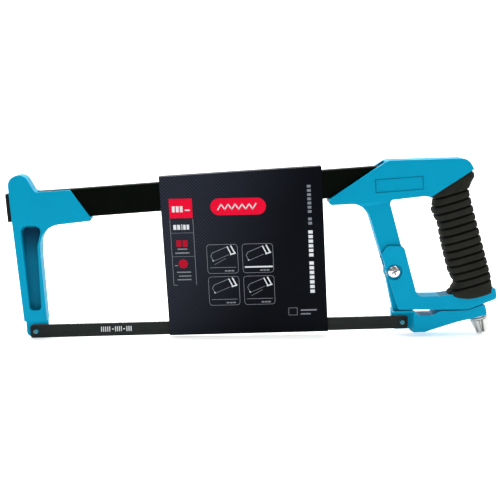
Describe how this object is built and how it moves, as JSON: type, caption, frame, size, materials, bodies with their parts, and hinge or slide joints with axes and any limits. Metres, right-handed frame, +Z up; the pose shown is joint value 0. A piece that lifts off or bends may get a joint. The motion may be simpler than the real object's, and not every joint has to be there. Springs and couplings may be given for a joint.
{
  "type": "hacksaw",
  "caption": "Hacksaw with a tubular frame, cast ends, a D-handle with a ribbed grip, a screw-and-lever blade tensioner and a printed card sleeve.",
  "frame": {"origin": "under the middle of the saw, at the height of the tension knob's lower end", "axes": "+X along the blade from the front end to the handle, +Z up from the blade to the frame tube, -Y is the side the pins' free ends stand out of"},
  "size_m": [0.3954, 0.026, 0.146],
  "materials": {
    "cyan_coat": "aluminium casting, satin cyan powder coat",
    "tube_black": "steel tube, satin black paint",
    "grip_rubber": "moulded ribbed rubber, matt black",
    "blade_steel": "hardened steel strip, thin dark paint",
    "black_plastic": "moulded black plastic",
    "printed_card": "printed card, dark woven pattern, silk varnish",
    "bronze": "sintered bronze",
    "black_steel": "blackened steel",
    "bright_steel": "bright nickel plate",
    "zinc": "zinc die casting, satin",
    "plain_steel": "turned steel, zinc plated"
  },
  "bodies": {
    "root": {"frame_tube": "tube_black", "front_casting": "cyan_coat", "handle_casting": "cyan_coat", "grip": "grip_rubber", "front_blade_pin": "plain_steel", "front_angled_pin": "plain_steel", "front_tube_screws": "black_steel", "rear_tube_screws": "black_steel", "pivot_bolt": "bright_steel", "pivot_nut": "plain_steel", "pivot_bushing": "bronze", "pivot_washers": "plain_steel", "tension_nut": "plain_steel", "blade": "blade_steel"},
    "lever": {"tension_lever": "cyan_coat", "rear_blade_pin": "plain_steel", "rear_angled_pin": "plain_steel"},
    "washer": {"thrust_washer": "plain_steel"},
    "knob": {"tension_screw": "plain_steel", "tension_knob": "zinc"},
    "cap": {"storage_cap": "black_plastic"},
    "sleeve": {"card_sleeve": "printed_card"}
  },
  "joints": [
    {"name": "lever_pivot", "type": "hinge", "parent": "root", "child": "lever", "pos_m": [0.1131, 0, 0.0549], "axis": [0, 1, 0], "range_deg": [0, 0.8]},
    {"name": "screw_travel", "type": "slide", "parent": "root", "child": "washer", "axis": [0.2588, 0, -0.9659], "range_m": [0, 0.0008]},
    {"name": "knob_turn", "type": "hinge", "parent": "washer", "child": "knob", "pos_m": [0.1844, 0, 0.016], "axis": [0.2588, 0, -0.9659], "range_deg": [0, 285]},
    {"name": "cap_pull", "type": "slide", "parent": "root", "child": "cap", "axis": [-0.9985, 0, -0.055], "range_m": [0, 0.02]},
    {"name": "sleeve_slide", "type": "slide", "parent": "root", "child": "sleeve", "axis": [1, 0, 0], "range_m": [-0.05, 0.003]}
  ],
  "couplings": [
    {"joint": "screw_travel", "follows": "knob_turn", "m_per_rad": 0.00015915},
    {"joint": "lever_pivot", "follows": "knob_turn", "ratio": 0.0027066}
  ]
}
